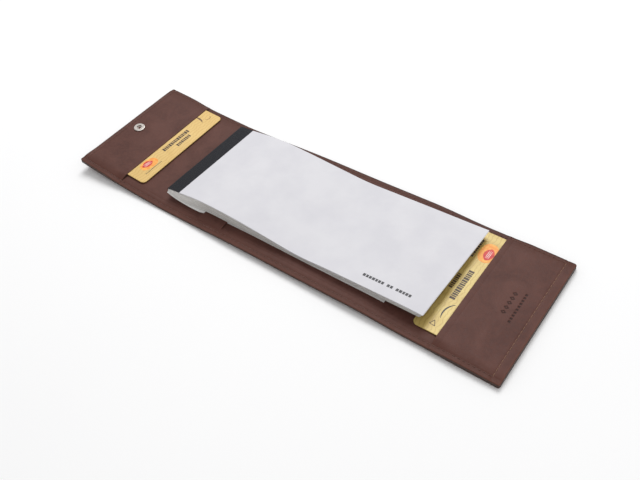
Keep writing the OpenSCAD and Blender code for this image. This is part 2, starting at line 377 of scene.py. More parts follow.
class Shader:
    """A material's node tree, with short ways to add the nodes used here."""

    def __init__(self, name, roughness, specular=0.5, metallic=0.0):
        self.material = bpy.data.materials.new(name)
        self.material.use_nodes = True
        self.nodes = self.material.node_tree.nodes
        self.links = self.material.node_tree.links
        self.surface = self.nodes["Principled BSDF"]
        self.surface.inputs["Roughness"].default_value = roughness
        self.surface.inputs["Specular IOR Level"].default_value = specular
        self.surface.inputs["Metallic"].default_value = metallic

    def feed(self, socket, value):
        if isinstance(value, bpy.types.NodeSocket):
            self.links.new(value, socket)
        else:
            socket.default_value = value

    def attribute(self, name, output="Vector"):
        node = self.nodes.new("ShaderNodeAttribute")
        node.attribute_name = name
        return node.outputs[output]

    def place(self, scale=(1, 1, 1)):
        node = self.nodes.new("ShaderNodeMapping")
        self.feed(node.inputs["Vector"], self.attribute("place"))
        node.inputs["Scale"].default_value = scale
        return node.outputs["Vector"]

    def noise(self, vector, scale, detail=3.0, rough=0.55, warp=0.0):
        node = self.nodes.new("ShaderNodeTexNoise")
        self.feed(node.inputs["Vector"], vector)
        node.inputs["Scale"].default_value = scale
        node.inputs["Detail"].default_value = detail
        node.inputs["Roughness"].default_value = rough
        node.inputs["Distortion"].default_value = warp
        return node.outputs["Fac"]

    def cells(self, vector, scale):
        node = self.nodes.new("ShaderNodeTexVoronoi")
        node.feature = "DISTANCE_TO_EDGE"
        self.feed(node.inputs["Vector"], vector)
        node.inputs["Scale"].default_value = scale
        return node.outputs["Distance"]

    def waves(self, vector, scale, distortion, detail_scale=1.0):
        node = self.nodes.new("ShaderNodeTexWave")
        self.feed(node.inputs["Vector"], vector)
        node.inputs["Scale"].default_value = scale
        node.inputs["Distortion"].default_value = distortion
        node.inputs["Detail Scale"].default_value = detail_scale
        return node.outputs["Fac"]

    def math(self, operation, a, b=0.0):
        node = self.nodes.new("ShaderNodeMath")
        node.operation = operation
        self.feed(node.inputs[0], a)
        self.feed(node.inputs[1], b)
        return node.outputs[0]

    def span(self, value, low, high, to_low=0.0, to_high=1.0):
        node = self.nodes.new("ShaderNodeMapRange")
        self.feed(node.inputs["Value"], value)
        node.inputs["From Min"].default_value = low
        node.inputs["From Max"].default_value = high
        node.inputs["To Min"].default_value = to_low
        node.inputs["To Max"].default_value = to_high
        return node.outputs["Result"]

    def mix(self, factor, a, b):
        node = self.nodes.new("ShaderNodeMix")
        node.data_type = "RGBA"
        self.feed(node.inputs["Factor"], factor)
        self.feed(node.inputs["A"], a)
        self.feed(node.inputs["B"], b)
        return node.outputs["Result"]

    def bump(self, height, strength, distance_mm, after=None):
        node = self.nodes.new("ShaderNodeBump")
        node.inputs["Strength"].default_value = strength
        node.inputs["Distance"].default_value = distance_mm * MM
        self.feed(node.inputs["Height"], height)
        if after is not None:
            self.links.new(after, node.inputs["Normal"])
        return node.outputs["Normal"]

    def finish(self, colour, roughness=None, normal=None):
        self.feed(self.surface.inputs["Base Color"], colour)
        if roughness is not None:
            self.feed(self.surface.inputs["Roughness"], roughness)
        if normal is not None:
            self.links.new(normal, self.surface.inputs["Normal"])
        return self.material


def leather_material(name, base, dark, light, worn, grain=1.0):
    """Smooth cowhide: cloudy colour, pebbled grain, small pores, darker borders and worn edges."""
    shader = Shader(name, 0.5, 0.2)
    place = shader.place()
    clouds = shader.noise(place, 0.055, 4.0, 0.6, 0.6)
    mottle = shader.noise(place, 0.45, 4.0, 0.65)
    pebbles = shader.cells(place, 1.35)
    pores = shader.noise(place, 3.2, 2.0, 0.6)
    wear_and_highlight = shader.attribute("wear_and_highlight", "Fac")
    colour = shader.mix(shader.span(clouds, 0.36, 0.66), dark, base)
    colour = shader.mix(shader.span(mottle, 0.42, 0.78, 0.0, 0.55), colour, light)
    colour = shader.mix(shader.span(pebbles, 0.0, 0.14, 0.28 * grain, 0.0), colour, dark)
    across = shader.nodes.new("ShaderNodeSeparateXYZ")
    shader.feed(across.inputs[0], shader.attribute("place"))
    far = shader.math("SUBTRACT", WIDTH, across.outputs["Y"])
    border = shader.span(shader.math("MINIMUM", across.outputs["Y"], far), 3, 10, 0.9, 0.0)
    border = shader.math("MULTIPLY", border, shader.span(mottle, 0.3, 0.7, 0.5, 1.0))
    colour = shader.mix(border, colour, linear(80, 45, 35))
    # Lighter where the wear value is above 0: rubbed edges, and a painted highlight on the strap's right
    # edge.
    rubbed = shader.math("MULTIPLY", wear_and_highlight, shader.span(mottle, 0.3, 0.7, 0.25, 1.0))
    colour = shader.mix(rubbed, colour, worn)
    colour = shader.mix(shader.span(wear_and_highlight, 0.0, -0.8, 0.0, 0.85), colour, linear(46, 28, 24))
    roughness = shader.span(mottle, 0.3, 0.75, 0.46, 0.62)
    normal = shader.bump(shader.span(pebbles, 0.0, 0.22), 0.30 * grain, 0.12)
    normal = shader.bump(pores, 0.22, 0.10, normal)
    normal = shader.bump(clouds, 0.25, 0.9, normal)
    return shader.finish(colour, roughness, normal)


def edge_material():
    """Cut leather edge under dark edge paint, with the fibres showing through as fine layers."""
    shader = Shader("leather_edge_paint", 0.55, 0.3)
    fibres = shader.noise(shader.place((0.5, 0.5, 7.0)), 1.1, 4.0, 0.7)
    blotches = shader.noise(shader.place(), 0.3, 3.0)
    colour = shader.mix(shader.span(fibres, 0.35, 0.7), linear(44, 31, 27), linear(78, 57, 49))
    colour = shader.mix(shader.span(blotches, 0.5, 0.8, 0.0, 0.5), colour, linear(98, 72, 61))
    return shader.finish(colour, shader.span(fibres, 0.3, 0.7, 0.45, 0.7), shader.bump(fibres, 0.5, 0.2))


def thread_material():
    """Twisted polyester thread in a brown a little lighter than the leather."""
    shader = Shader("thread_brown", 0.6, 0.3)
    twist = shader.waves(shader.place((1, 1, 1)), 1.6, 0.6)
    tone = shader.noise(shader.place(), 0.5, 2.0)
    colour = shader.mix(shader.span(tone, 0.3, 0.7), linear(92, 66, 58), linear(120, 90, 80))
    colour = shader.mix(shader.attribute("wear_and_highlight", "Fac"), colour, linear(140, 106, 88))
    return shader.finish(colour, None, shader.bump(twist, 0.6, 0.12))


def gold_card_material(name, pale, deep, shade, across):
    """Printed metallic gold plastic: a slow gradient, guilloche waves and a faint fleck."""
    shader = Shader(name, 0.4, 0.4, 0.12)
    broad = shader.noise(shader.place((0.5, 0.5, 0.5)), across, 2.0, 0.5, 1.2)
    lines = shader.waves(shader.place((0.22, 0.55, 0.2)), 0.55, 7.0, 0.6)
    fleck = shader.noise(shader.place(), 7.0, 2.0)
    colour = shader.mix(shader.span(broad, 0.36, 0.66), pale, deep)
    colour = shader.mix(shader.span(lines, 0.72, 0.98, 0.0, 0.38), colour, shade)
    colour = shader.mix(shader.span(fleck, 0.55, 0.8, 0.0, 0.25), colour, pale)
    shader.surface.inputs["Coat Weight"].default_value = 0.15
    shader.surface.inputs["Coat Roughness"].default_value = 0.2
    return shader.finish(colour, shader.span(fleck, 0.3, 0.7, 0.38, 0.5))


def ink_material(name, first, second):
    """Printed ink whose density varies a little, sliding between two tones."""
    shader = Shader(name, 0.45, 0.4)
    tone = shader.noise(shader.place(), 0.5, 3.0, 0.6)
    grit = shader.noise(shader.place(), 6.0, 2.0)
    colour = shader.mix(shader.span(tone, 0.4, 0.62), first, second)
    return shader.finish(colour, shader.span(grit, 0.3, 0.7, 0.38, 0.55))


def paper_material(name, first, second, roughness=0.75):
    """Coated paper: nearly even white with cloudy formation, soft dents and a fine tooth."""
    shader = Shader(name, roughness, 0.25)
    clouds = shader.noise(shader.place(), 0.05, 3.0, 0.55)
    tooth = shader.noise(shader.place(), 5.0, 3.0, 0.7)
    colour = shader.mix(shader.span(clouds, 0.35, 0.65), first, second)
    rough = shader.span(tooth, 0.3, 0.7, roughness - 0.08, roughness + 0.08)
    normal = shader.bump(tooth, 0.12, 0.05)
    return shader.finish(colour, rough, shader.bump(clouds, 0.3, 0.8, normal))


def page_material():
    """Edges of stacked pages: fine layers in white, grey and a little ink from the printing."""
    shader = Shader("page_stack", 0.8, 0.2)
    layers = shader.noise(shader.place((0.03, 0.15, 6.5)), 1.0, 3.0, 0.65)
    blotch = shader.noise(shader.place((0.12, 0.3, 0.8)), 0.6, 3.0)
    colour = shader.mix(shader.span(layers, 0.35, 0.66), linear(176, 172, 166), linear(228, 226, 222))
    colour = shader.mix(shader.span(blotch, 0.52, 0.8, 0.0, 0.4), colour, linear(160, 150, 146))
    along = shader.nodes.new("ShaderNodeSeparateXYZ")
    shader.feed(along.inputs[0], shader.attribute("place"))
    # Painted highlight: the page edges are lightened towards white near the bound end, fading out by s 122,
    # where the fanned sheets face the light.
    painted_highlight_bound_end = shader.span(along.outputs["X"], 90, 122, 0.9, 0.0)
    colour = shader.mix(painted_highlight_bound_end, colour, linear(246, 244, 240))
    return shader.finish(colour, None, shader.bump(layers, 0.4, 0.15))


def tape_material():
    """Charcoal bookbinding cloth: a close plain weave with slubs and a faint sheen."""
    shader = Shader("binding_cloth", 0.62, 0.2)
    warp = shader.waves(shader.place((1, 0, 0)), 1.15, 0.35)
    weft_place = shader.nodes.new("ShaderNodeMapping")
    shader.feed(weft_place.inputs["Vector"], shader.attribute("place"))
    weft_place.inputs["Rotation"].default_value = (0, 0, math.pi / 2)
    weft = shader.waves(weft_place.outputs["Vector"], 1.15, 0.35)
    weave = shader.math("MULTIPLY", warp, weft)
    slub = shader.noise(shader.place((0.25, 1.5, 1)), 0.9, 3.0)
    colour = shader.mix(weave, linear(19, 21, 27), linear(32, 33, 40))
    colour = shader.mix(shader.span(slub, 0.5, 0.75, 0.0, 0.5), colour, linear(42, 42, 49))
    shader.surface.inputs["Sheen Weight"].default_value = 0.05
    return shader.finish(colour, shader.span(slub, 0.3, 0.7, 0.55, 0.7), shader.bump(weave, 0.5, 0.12))


def metal_material(name, bright, dull, roughness):
    """Plated metal with light brushing, dulled in patches by handling."""
    shader = Shader(name, roughness, 0.5, 1.0)
    coordinates = shader.nodes.new("ShaderNodeTexCoord").outputs["Object"]
    patches = shader.noise(coordinates, 700.0, 3.0)
    scratch = shader.noise(coordinates, 5200.0, 2.0)
    colour = shader.mix(shader.span(patches, 0.35, 0.7), bright, dull)
    rough = shader.span(patches, 0.3, 0.7, roughness - 0.08, roughness + 0.12)
    return shader.finish(colour, rough, shader.bump(scratch, 0.15, 0.03))


def floor_material():
    """Pale seamless paper with an almost unseen variation."""
    shader = Shader("studio_paper", 0.9, 0.1)
    coordinates = shader.nodes.new("ShaderNodeTexCoord").outputs["Object"]
    tone = shader.noise(coordinates, 3.0, 2.0)
    colour = shader.mix(tone, (0.93, 0.93, 0.935, 1), (0.96, 0.96, 0.96, 1))
    return shader.finish(colour)


LINING = leather_material("lining_cowhide", linear(96, 61, 53), linear(80, 48, 41),
                          linear(107, 71, 62), linear(104, 66, 54))
OUTER_HIDE = leather_material("outer_cowhide", linear(88, 56, 48), linear(69, 42, 36),
                              linear(103, 68, 58), linear(112, 74, 62), 1.3)
EDGE = edge_material()
THREAD = thread_material()
CARD_PALE = gold_card_material("card_gold_pale", linear(224, 192, 124), linear(208, 172, 100),
                               linear(184, 142, 78), 0.05)
CARD_DEEP = gold_card_material("card_gold_deep", linear(204, 182, 112), linear(176, 148, 78),
                               linear(150, 120, 60), 0.06)
INK = ink_material("ink_dark_brown", linear(58, 44, 34), linear(84, 64, 46))
INK_BLACK = ink_material("ink_black", linear(40, 40, 44), linear(62, 62, 66))
INK_RED = ink_material("ink_red", linear(196, 44, 50), linear(220, 76, 60))
INK_ORANGE = ink_material("ink_orange", linear(240, 150, 66), linear(248, 182, 88))
INK_PALE = ink_material("ink_pale", linear(250, 226, 222), linear(255, 244, 240))
INK_GOLD = ink_material("ink_gold_shade", linear(112, 84, 50), linear(140, 106, 62))
COVER = paper_material("cover_board", linear(212, 211, 216), linear(218, 217, 221))
SHEET = paper_material("sheet_paper", linear(226, 225, 222), linear(236, 235, 233), 0.8)
BACK = paper_material("back_board", linear(232, 230, 228), linear(240, 239, 238))
PAGES = page_material()
TAPE = tape_material()
NICKEL = metal_material("nickel_plate", (0.66, 0.62, 0.58, 1), (0.50, 0.46, 0.42, 1), 0.32)
STEEL = metal_material("staple_steel", (0.72, 0.72, 0.74, 1), (0.55, 0.55, 0.57, 1), 0.3)


# ---------------------------------------------------------------- leather

LEAVES = (
    ("flap", 0.0, 69.1, FLAP_END, "flap", "left_spine", ("flap", "left_spine")),
    ("middle_left", 69.1, 142.0, MIDDLE_START, "left_spine", "middle", ("middle",)),
    ("middle_right", 142.0, 212.45, MIDDLE_END, "middle", "right_spine", ("right_spine",)),
    ("right", 212.45, LENGTH, RIGHT_START, "right_spine", "right_panel", ("right_panel",)),
)


def fold(piece, crease):
    """Bakes a piece's transform into its mesh; the points either side of the crease at s = crease are
    worked out but not used.
    """
    start = point(crease - BEND, WIDTH / 2, 0, 0)
    end = point(crease + BEND, WIDTH / 2, 0, 0)
    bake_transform(piece)


def rubbed(s, y):
    """Wear of the leather: rubbed near and right edges, and dark painted far and left edges."""
    light = 0.75 * math.exp(-(min(y, LENGTH - s) / 1.1) ** 2)
    return light - 0.9 * math.exp(-(min(WIDTH - y, s) / 0.75) ** 4)


def leaf_columns(start, end):
    """Places along a leaf where its surface needs points."""
    creases = [f + d for f in (FLAP_END, MIDDLE_START, MIDDLE_END, RIGHT_START)
               for d in (-4, -3, -2, -1.2, -0.6, 0, 0.6, 1.2, 2, 3, 4)]
    ends = [0, 0.15, 0.35, 0.6, 1, 1.6, 2.2, 2.6, 3, 3.4, 3.8, 4.5, 5.2, 5.6, 6, 6.6]
    extra = creases + ends + [LENGTH - e for e in ends]
    inside = [e for e in extra if start < e < end]
    return joined(steps(start, end, 2.0), inside)


def strip_rows():
    """Places across the strip where its surface needs points."""
    near = [0, 0.15, 0.35, 0.6, 1, 1.6, 2.2, 2.7, 3.2, 3.7, 4.3, 5.2, 6, 6.3, 6.6, 6.9, 7.4, 8.4, 9.6]
    far = [WIDTH - n for n in near[:12]]
    return joined(near, steps(10.8, 93, 2.2), far)


def leather_leaf(kind, leaf, ys):
    """One stretch of the outer leather or of the lining."""
    label, start, end, crease, first, second, nodes = leaf
    solid = Solid()
    ss = leaf_columns(start, end)
    split = -LEATHER + OUTER
    seams = (start > 0, end < LENGTH)
    if kind == "lining":
        add_slab(solid, ss, ys, lining_top, lambda s, y: split + 0.02, corner=rounded_corner,
                 bulge=0.10, wear_and_highlight=rubbed, kinds=(0, 1, 0), seams=seams)
        materials = (LINING, EDGE)
    else:
        def underside(s, y):
            return -LEATHER + 0.02 + shoulder(edge_distance(s, y), 0.5) + 0.28 * groove(s, y)
        add_slab(solid, ss, ys, lambda s, y: split - 0.04, underside, corner=rounded_corner,
                 bulge=0.16, wear_and_highlight=rubbed, kinds=(1, 1, 0), seams=seams)
        materials = (OUTER_HIDE, EDGE)
    piece = solid.make(f"{kind}_{label}", materials)
    fold(piece, crease)
    prefix = "lining_" if kind == "lining" else "outer_leather_"
    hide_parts(*[prefix + n for n in nodes])


def add_stitch(solid, start, end, height, side, wear_and_highlight):
    """One stitch: a short thread that rises out of one hole and sinks into the next."""
    rings, around, radius = 7, 6, 0.24
    previous = None
    for k in range(rings):
        t = k / (rings - 1)
        s = start[0] + (end[0] - start[0]) * t
        y = start[1] + (end[1] - start[1]) * t
        rise = side * (0.30 * math.sin(math.pi * t) ** 0.6 - 0.16)
        size = radius * (0.45 + 0.55 * math.sin(math.pi * t) ** 0.5)
        dy, ds = end[0] - start[0], start[1] - end[1]
        norm = math.hypot(ds, dy)
        ring = []
        for a in range(around):
            angle = 2 * math.pi * a / around
            across, up = size * math.cos(angle), size * math.sin(angle)
            where = (s + across * ds / norm, y + across * dy / norm)
            h = height(s, y) + rise + up
            ring.append(solid.add(point(where[0], where[1], h), (where[0], where[1], h), wear_and_highlight))
        if previous:
            for a in range(around):
                n = (a + 1) % around
                solid.face((previous[a], ring[a], ring[n], previous[n]))
        else:
            solid.face(tuple(ring))
        previous = ring
    solid.face(tuple(reversed(previous)))


def stitch_lines():
    """Start and end of every stitch, and how light its thread is."""
    pitch, gap = 3.2, 0.5
    left, right = STITCH_LEFT, LENGTH - STITCH_RIGHT
    near, far = STITCH_NEAR, WIDTH - STITCH_FAR
    runs = [((left, near), (right, near), 0.0), ((left, far), (right, far), 0.0),
            ((left, near), (left, far), 0.0), ((right, near), (right, far), 1.0)]
    for a, b, wear_and_highlight in runs:
        length = math.dist(a, b)
        count = round(length / pitch)
        for k in range(count):
            t0 = (k * length / count + gap / 2) / length
            t1 = ((k + 1) * length / count - gap / 2) / length
            yield (tuple(p + (q - p) * t0 for p, q in zip(a, b)),
                   tuple(p + (q - p) * t1 for p, q in zip(a, b)), wear_and_highlight)


def stitching():
    """The seam round the strip, in one piece for each stretch of the leather."""
    stitches = list(stitch_lines())
    for label, start, end, crease, first, second, nodes in LEAVES:
        solid = Solid()
        for a, b, wear_and_highlight in stitches:
            middle = 0.5 * (a[0] + b[0])
            if start <= middle < end:
                add_stitch(solid, a, b, surface, 1, wear_and_highlight)
                add_stitch(solid, a, b, lambda s, y: -LEATHER + 0.42, -1, 0.0)
        piece = solid.make(f"thread_{label}", (THREAD,))
        fold(piece, crease)
        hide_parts(*["stitching_" + n for n in nodes])


def pocket(name, body, low, high):
    """A card pocket: a panel sewn down on three sides, with its mouth open over the card."""
    ends = [0.15, 0.35, 0.6, 1, 1.6, 2.2, 2.6, 2.75, 3, 3.4, 3.8, 4.5]
    tail = [LENGTH - e for e in ends + [5.2, 5.6, 6.0, 6.5, 6.7]]
    mouth = [0.12, 0.25, 0.4, 0.9, 1.8, 3.4, 3.8, 4.2, 4.6, 5.0]
    rows = strip_rows() + [NEAR_HEM - 0.05, NEAR_HEM + 0.08, WIDTH - FAR_HEM - 0.08, WIDTH - FAR_HEM + 0.05]
    if body == "flap":
        columns = joined(steps(low, high, 2.0), ends, [high - m for m in mouth])
    else:
        columns = joined(steps(low, high, 2.0), tail, [low + m for m in mouth], steps(321, 331, 0.3))
        rows = rows + steps(38, 64, 0.35)

    def worn(s, y):
        pressed = motif(s, y) if s > POCKET_RIGHT_MOUTH else 0.0
        return rubbed(s, y) + 0.35 * math.exp(-(min(abs(s - low), abs(s - high)) / 0.7) ** 2) - pressed

    solid = Solid()
    add_slab(solid, columns, joined(rows), pocket_top, pocket_bottom, corner=rounded_corner,
             bulge=0.10, wear_and_highlight=worn, kinds=(0, 1, 0))
    piece = solid.make(name, (LINING, EDGE))
    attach(piece, body)
    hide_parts(name, name + "_hem")


def strap():
    """The leather strap that the pad's back cover goes under, sewn down at both ends."""
    start, end, near, far, hem = STRAP_START, STRAP_END, 5.0, 96.5, 4.2

    def top(s, y):
        edge = min(s - start, end - s, y - near, far - y)
        pressed = 1.0 * (1 - ramp(0.0, 4.5, y - near)) + 0.35 * (1 - ramp(1.0, 5.0, far - y))
        return 1.3 - pressed - shoulder(edge, 0.35)

    def bottom(s, y):
        if y < near + hem or y > far - hem:
            return -0.15
        return 0.64

    edge_steps = [0.12, 0.25, 0.4, 0.8]
    ss = joined(steps(start, end, 2.0), [start + e for e in edge_steps], [end - e for e in edge_steps])
    ys = joined(steps(near, far, 2.0), [near + e for e in edge_steps], [far - e for e in edge_steps],
                [near + hem - 0.08, near + hem + 0.08, far - hem - 0.08, far - hem + 0.08])
    solid = Solid()
    # The strap's right edge is lightened through the wear value: a painted highlight on its notch.
    add_slab(solid, ss, ys, top, bottom, bulge=0.08, kinds=(0, 1, 0),
             wear_and_highlight=lambda s, y: 0.9 * math.exp(-((end - s) / 0.9) ** 2))
    piece = solid.make("pad_strap", (LINING, EDGE))
    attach(piece, "middle")
    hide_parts("pad_strap", "pad_strap_hems")


# ---------------------------------------------------------------- bank cards

def card_solid(origin, direction, tilt_place):
    """A bank card's rounded plate. Its free edge is at s = origin and it runs along direction."""
    solid = Solid()
    radius, bevel = 3.18, 0.12

    def outline(inset):
        corners = []
        r = radius - inset
        for cs, cy, turn in ((CARD_SHORT - radius, CARD_LONG - radius, 0), (radius, CARD_LONG - radius, 90),
                             (radius, radius, 180), (CARD_SHORT - radius, radius, 270)):
            for k in range(9):
                a = math.radians(turn + 90 * k / 8)
                corners.append((cs + r * math.cos(a), cy + r * math.sin(a)))
        return corners

    def put(u, v, h):
        return tilt_place(origin + direction * u, CARD_NEAR + v, h)

    rings = []
    for inset, h in ((bevel, 0.0), (0.0, bevel), (0.0, CARD_THICK - bevel), (bevel, CARD_THICK)):
        rings.append([solid.add(put(u, v, h), (u, v, h), 0.0) for u, v in outline(inset)])
    count = len(rings[0])
    flip = direction < 0
    for low, high in zip(rings, rings[1:]):
        for k in range(count):
            n = (k + 1) % count
            quad = (low[k], low[n], high[n], high[k])
            solid.face(tuple(reversed(quad)) if flip else quad)
    solid.face(tuple(rings[-1]) if not flip else tuple(reversed(rings[-1])))
    solid.face(tuple(reversed(rings[0])) if not flip else tuple(rings[0]))
    return solid, put


def print_marks(solid, put, marks):
    """Adds printed inlays, each an outline in card millimetres and an ink number."""
    for outline, kind in marks:
        area = sum(a[0] * b[1] - b[0] * a[1] for a, b in zip(outline, outline[1:] + outline[:1]))
        ordered = outline if area > 0 else outline[::-1]
        add_patch(solid, ordered, lambda u, v: CARD_THICK, put, kind, depth=0.3,
                  proud=0.012 + INK_LAYERS.get(kind, 0.0))


def dashes(u, v0, v1, height, widths, gap):
    """A line of short bars across the card, standing in for words."""
    marks, v, k = [], v0, 0
    while v + widths[k % len(widths)] <= v1:
        w = widths[k % len(widths)]
        marks.append((bar(u, u + height, v, v + w), DASH_INK))
        v += w + gap
        k += 1
    return marks


def sun_mark(u, v, ru, rv, turn):
    """A generic warm emblem: an orange rounded patch with a red heart and three pale bars."""
    marks = [(ellipse(u, v, ru, rv, turn, power=0.8), ORANGE_INK)]
    heart = ellipse(u + 0.18 * ru, v - 0.1 * rv, 0.62 * ru, 0.62 * rv, turn, power=1.25)
    marks.append((heart, RED_INK))
    for k in (-1, 0, 1):
        marks.append((ellipse(u + 0.18 * ru + k * 0.9, v - 0.1 * rv, 0.16, 0.42 * rv, turn), PALE_INK))
    return marks


def arc_stroke(u, v, radius, start, end, width):
    """A curved stroke that narrows to its ends."""
    outer, inner = [], []
    for k in range(13):
        t = k / 12
        a = math.radians(start + (end - start) * t)
        w = width * math.sin(math.pi * (0.08 + 0.84 * t))
        outer.append((u + (radius + w / 2) * math.cos(a), v + (radius + w / 2) * math.sin(a)))
        inner.append((u + (radius - w / 2) * math.cos(a), v + (radius - w / 2) * math.sin(a)))
    return outer + inner[::-1]


def card_left():
    """The pale gold card in the snap end's pocket, its free edge towards the pad."""
    def tilted(s, y, h):
        x = MIDDLE_START + (s - MIDDLE_START) * math.cos(FLAP_TILT) + h * math.sin(FLAP_TILT)
        z = -(s - MIDDLE_START) * math.sin(FLAP_TILT) + h + 0.14
        return Vector((x - LENGTH / 2, y - WIDTH / 2, z + LEATHER)) * MM

    solid, put = card_solid(57.0, -1, tilted)
    marks = dashes(10.8, 33, 60, 3.2, (1.5, 0.9, 1.2, 0.8, 1.6), 0.5)
    marks += dashes(6.2, 43, 57, 2.9, (1.3, 0.9, 1.1), 0.5)
    marks += dashes(5.2, 7.5, 24.5, 0.7, (0.9, 0.6, 0.8), 0.35)
    marks += sun_mark(11.2, 16.5, 4.6, 7.4, 0.12)
    marks.append((arc_stroke(15.0, 66.0, 9.0, 62, 128, 1.5), EXTRA_INK))
    marks.append((arc_stroke(10.5, 79.6, 2.6, 100, 260, 0.5), EXTRA_INK))
    print_marks(solid, put, marks)
    inks = (CARD_PALE, INK, INK_RED, INK_ORANGE, INK_PALE, INK_GOLD)
    piece = solid.make("card_left", inks, smooth=False)
    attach(piece, "card_left_body")
    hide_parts("card_left")


def card_right():
    """The deeper gold card in the right pocket, its free edge under the pad's end."""
    pivot, lean = POCKET_RIGHT_MOUTH, RIGHT_TILT - math.radians(1.6)
    pivot_x = MIDDLE_END + (pivot - MIDDLE_END) * math.cos(RIGHT_TILT)
    pivot_z = (pivot - MIDDLE_END) * math.sin(RIGHT_TILT)

    def tilted(s, y, h):
        x = pivot_x + (s - pivot) * math.cos(lean) - h * math.sin(lean)
        z = pivot_z + (s - pivot) * math.sin(lean) + h * math.cos(lean) + 0.14
        return Vector((x - LENGTH / 2, y - WIDTH / 2, z + LEATHER)) * MM

    solid, put = card_solid(283.0, 1, tilted)
    marks = dashes(9.3, 27, 53, 3.5, (1.7, 0.9, 1.3, 0.8, 1.5), 0.45)
    marks += dashes(4.6, 34, 48, 2.6, (1.4, 0.9, 1.2), 0.45)
    marks += sun_mark(12.4, 69.5, 5.4, 8.2, 0.0)
    marks += [(mark, EXTRA_INK) for mark, _ in dashes(4.4, 62, 79, 1.3, (1.4, 1.0, 1.8), 0.4)]
    triangle = [(9.0, 5.2), (12.6, 4.8), (10.6, 8.6)]
    for k in range(3):
        a, b = triangle[k], triangle[(k + 1) % 3]
        n = Vector((b[1] - a[1], a[0] - b[0])).normalized() * 0.22
        marks.append(([(a[0] - n.x, a[1] - n.y), (b[0] - n.x, b[1] - n.y),
                       (b[0] + n.x, b[1] + n.y), (a[0] + n.x, a[1] + n.y)], DASH_INK))
    marks.append((arc_stroke(22.0, 16.0, 10.5, 128, 205, 1.0), EXTRA_INK))
    print_marks(solid, put, marks)
    inks = (CARD_DEEP, INK, INK_RED, INK_ORANGE, INK_PALE, INK_BLACK)
    piece = solid.make("card_right", inks, smooth=False)
    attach(piece, "card_right_body")
    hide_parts("card_right")


# ---------------------------------------------------------------- cheque pad

TOP_NEAR = ((81, 7.6), (94, 9.6), (108, 11.6), (125, 12.3), (145, 11.6), (170, 9.4), (197, 6.9),
            (222, 8.4), (250, 9.6), (275, 10.6), (289, 10.6))
TOP_FAR = ((81, 6.2), (94, 7.4), (110, 9.2), (128, 9.9), (146, 8.9), (170, 6.9), (197, 4.9),
           (222, 5.6), (250, 6.6), (275, 7.4), (289, 8.0))
BOTTOM = ((81, 5.5), (86, 3.6), (93, 2.2), (102, 1.5), (112, 1.7), (115, 2.7), (140, 3.1), (165, 3.1),
          (197, 3.4), (222, 4.6), (250, 5.4), (275, 6.2), (289, 6.4))


def through(points, x):
    """Height at x of a smooth curve through the points."""
    for k in range(len(points) - 1):
        if x <= points[k + 1][0] or k == len(points) - 2:
            break
    (x1, h1), (x2, h2) = points[k], points[k + 1]
    x0, h0 = points[max(k - 1, 0)]
    x3, h3 = points[min(k + 2, len(points) - 1)]
    slope1 = (h2 - h0) / (x2 - x0)
    slope2 = (h3 - h1) / (x3 - x1)
    t = min(max((x - x1) / (x2 - x1), 0.0), 1.0)
    w = x2 - x1
    return ((2 * t ** 3 - 3 * t * t + 1) * h1 + (t ** 3 - 2 * t * t + t) * w * slope1
            + (3 * t * t - 2 * t ** 3) * h2 + (t ** 3 - t * t) * w * slope2)


def pad_top(s, y):
    """Height of the pad's front cover."""
    t = (y - PAD_NEAR) / (PAD_FAR - PAD_NEAR)
    inside = ramp(0, 10, min(y - PAD_NEAR, PAD_FAR - y))
    dent = 0.16 * noise.noise(Vector((s / 26, y / 21, 7.7))) * inside
    return through(TOP_NEAR, s) * (1 - t) + through(TOP_FAR, s) * t + dent


def pad_bottom(s, y):
    """Height of the underside of the pages: flatter towards the far side."""
    t = (y - PAD_NEAR) / (PAD_FAR - PAD_NEAR)
    low = through(BOTTOM, s)
    return low + t * (min(low, through(TOP_FAR, s) - 2.0) - low)


def pad_piece(piece, body, nodes, other=None, squash=True):
    """Gives a part of the pad its body, or, when other is given, only bakes its transform into its mesh."""
    if other:
        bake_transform(piece)
    else:
        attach(piece, body)
        if squash:
            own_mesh(piece)
    if nodes:
        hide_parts(*nodes)


def pages(name, start, end, body, nodes, other=None):
    """A stretch of the pad's pages: leaf upon leaf, no two cut quite alike."""
    rng = random.Random(4)
    count = SHEETS
    cuts = [(rng.uniform(0.0, 0.45), rng.uniform(0.0, 0.45), rng.uniform(0.0, 0.5)) for _ in range(count)]
    drift = [0.5 * math.sin(0.5 * k) for k in range(count)]
    solid = Solid()
    ss = steps(start, end, 3.0 if end - start > 10 else 0.75)
    for k in range(count):
        near_cut, far_cut, end_cut = cuts[k]
        low, high = k / count, (k + 0.86) / count
        last = end
        if end == PAD_RIGHT:
            last = end - end_cut - 0.12 * (count - k) + 0.4 * math.sin(0.35 * k)
        ys = [PAD_NEAR + 0.45 + near_cut + 0.3 * drift[k], 32, 52, 72, PAD_FAR - 0.3 - far_cut]
        columns = [min(s, last) if s < end else last for s in ss]

        def sheet_height(share, s, y):
            bottom, top = pad_bottom(s, y), pad_top(s, y) - 0.32
            return bottom + (top - bottom) * share

        def fanned(s, y):
            """Lower sheets stand out further at the near corner of the bound end."""
            return s, y - 1.5 * (1 - low) * ramp(116, 96, s) * ramp(30, 12, y)

        add_slab(solid, columns, ys, lambda s, y: sheet_height(high, s, y),
                 lambda s, y: sheet_height(low, s, y), put=level, corner=fanned, kinds=(1, 0, 1))
    piece = solid.make(name, (PAGES, SHEET), smooth=False)
    pad_piece(piece, body, nodes, other)


